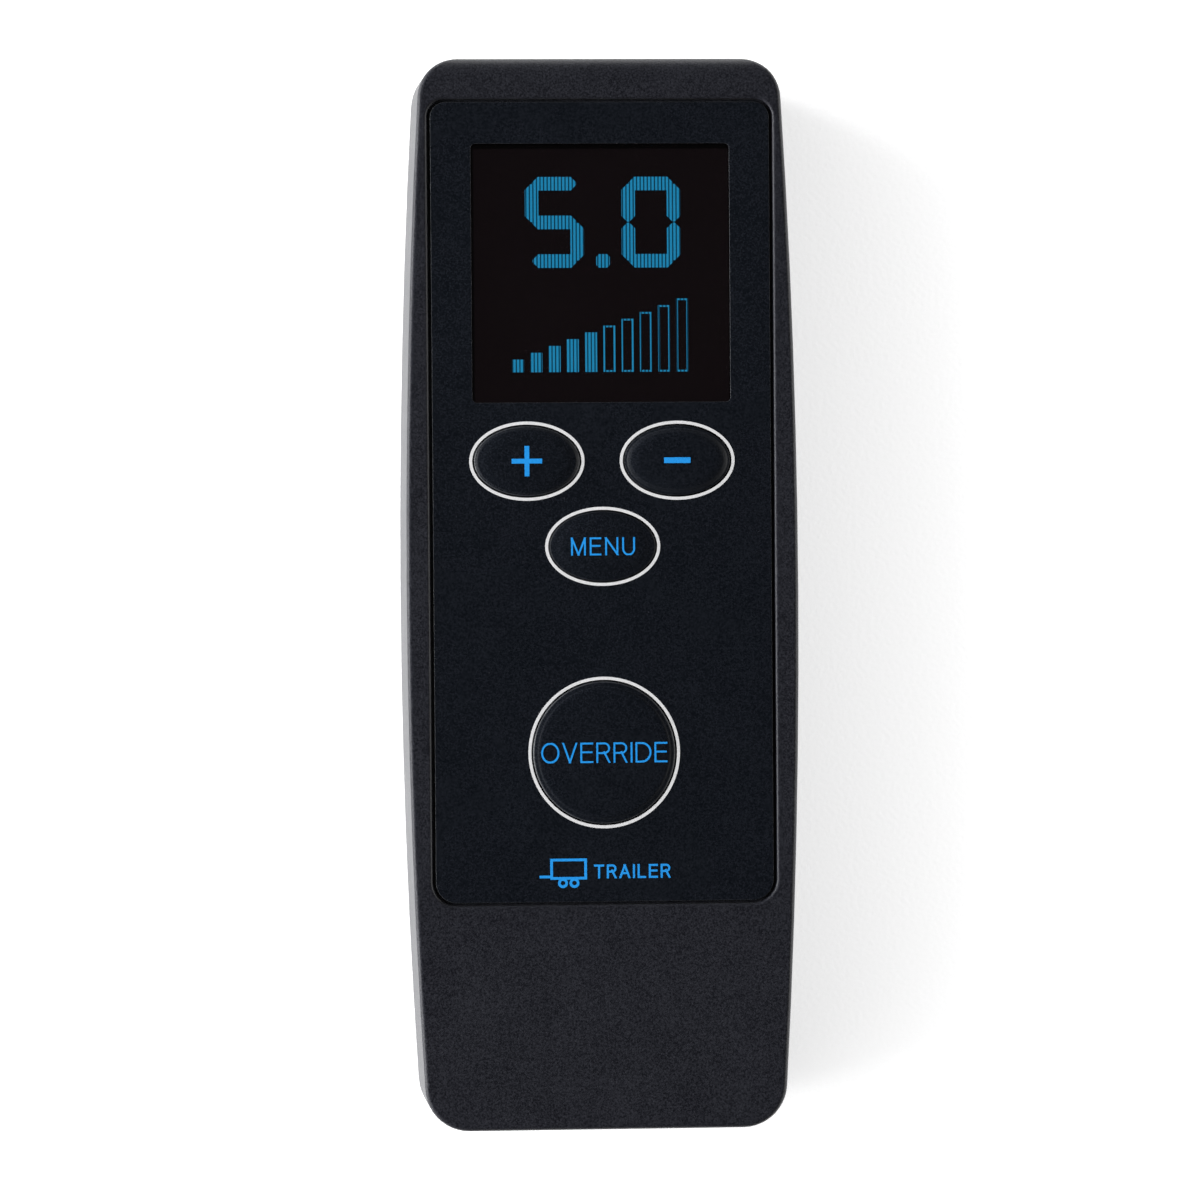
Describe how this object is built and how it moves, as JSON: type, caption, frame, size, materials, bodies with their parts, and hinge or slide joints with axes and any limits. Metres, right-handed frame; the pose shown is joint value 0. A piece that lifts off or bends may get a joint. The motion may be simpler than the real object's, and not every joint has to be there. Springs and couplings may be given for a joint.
{
  "type": "handheld trailer brake controller",
  "caption": "Handheld trailer brake controller with a bowed black case, a recessed membrane keypad, a square display and a sliding battery door.",
  "frame": {"origin": "middle of the back face, on which the unit lies", "axes": "+Z out of the keypad face, +Y towards the display end, +X to the right of the face"},
  "size_m": [0.051, 0.136, 0.0242],
  "materials": {
    "case": "fine textured moulding",
    "overlay_film": "satin printed film",
    "clear_film": "clear polyester with printed silver tracks",
    "adhesive": "thin adhesive sheet",
    "dome_steel": "spring steel",
    "lens": "polished, smoke tint",
    "display_glass": "polished black glass",
    "foam": "closed cell foam",
    "tray": "satin moulding",
    "flex": "amber polyimide",
    "socket": "ivory moulding",
    "board": "green solder mask",
    "screw": "black zinc",
    "tin_plate": "satin tin plate",
    "chip": "moulded epoxy",
    "cell": "printed sleeve",
    "contact": "nickel plate"
  },
  "bodies": {
    "case": {"front_shell": "case", "back_shell": "case", "graphic_overlay": "overlay_film", "circuit_film": "clear_film", "dome_spacer": "clear_film", "keypad_adhesive": "adhesive", "lens_tape": "adhesive", "plus_dome": "dome_steel", "minus_dome": "dome_steel", "menu_dome": "dome_steel", "override_dome": "dome_steel", "display_lens": "lens", "display_panel": "display_glass", "display_gasket": "foam", "display_tray": "tray", "display_flex": "flex", "display_connector": "socket", "keypad_connector": "socket", "main_board": "board", "radio_board": "board", "case_screws": "screw", "board_screws": "screw", "radio_shield": "tin_plate", "crystal": "tin_plate", "capacitors": "tin_plate", "microcontroller": "chip", "power_inductor": "chip", "cell_left": "cell", "cell_right": "cell", "positive_terminal": "contact", "negative_terminal": "contact", "series_strip": "contact", "negative_spring": "contact", "series_spring": "contact"},
    "plus_button": {"plus_key": "overlay_film"},
    "minus_button": {"minus_key": "overlay_film"},
    "menu_button": {"menu_key": "overlay_film"},
    "override_button": {"override_key": "overlay_film"},
    "door": {"battery_door": "case"}
  },
  "joints": [
    {"name": "plus_press", "type": "slide", "parent": "case", "child": "plus_button", "axis": [0, 0, -1], "range_m": [0, 0.00025], "stiffness_N_per_m": 6000, "deforming": ["plus_dome"]},
    {"name": "minus_press", "type": "slide", "parent": "case", "child": "minus_button", "axis": [0, 0, -1], "range_m": [0, 0.00025], "stiffness_N_per_m": 6000, "deforming": ["minus_dome"]},
    {"name": "menu_press", "type": "slide", "parent": "case", "child": "menu_button", "axis": [0, 0, -1], "range_m": [0, 0.00025], "stiffness_N_per_m": 6000, "deforming": ["menu_dome"]},
    {"name": "override_press", "type": "slide", "parent": "case", "child": "override_button", "axis": [0, 0, -1], "range_m": [0, 0.00025], "stiffness_N_per_m": 6000, "deforming": ["override_dome"]},
    {"name": "door_slide", "type": "slide", "parent": "case", "child": "door", "axis": [0, -1, 0], "range_m": [0, 0.062]}
  ]
}
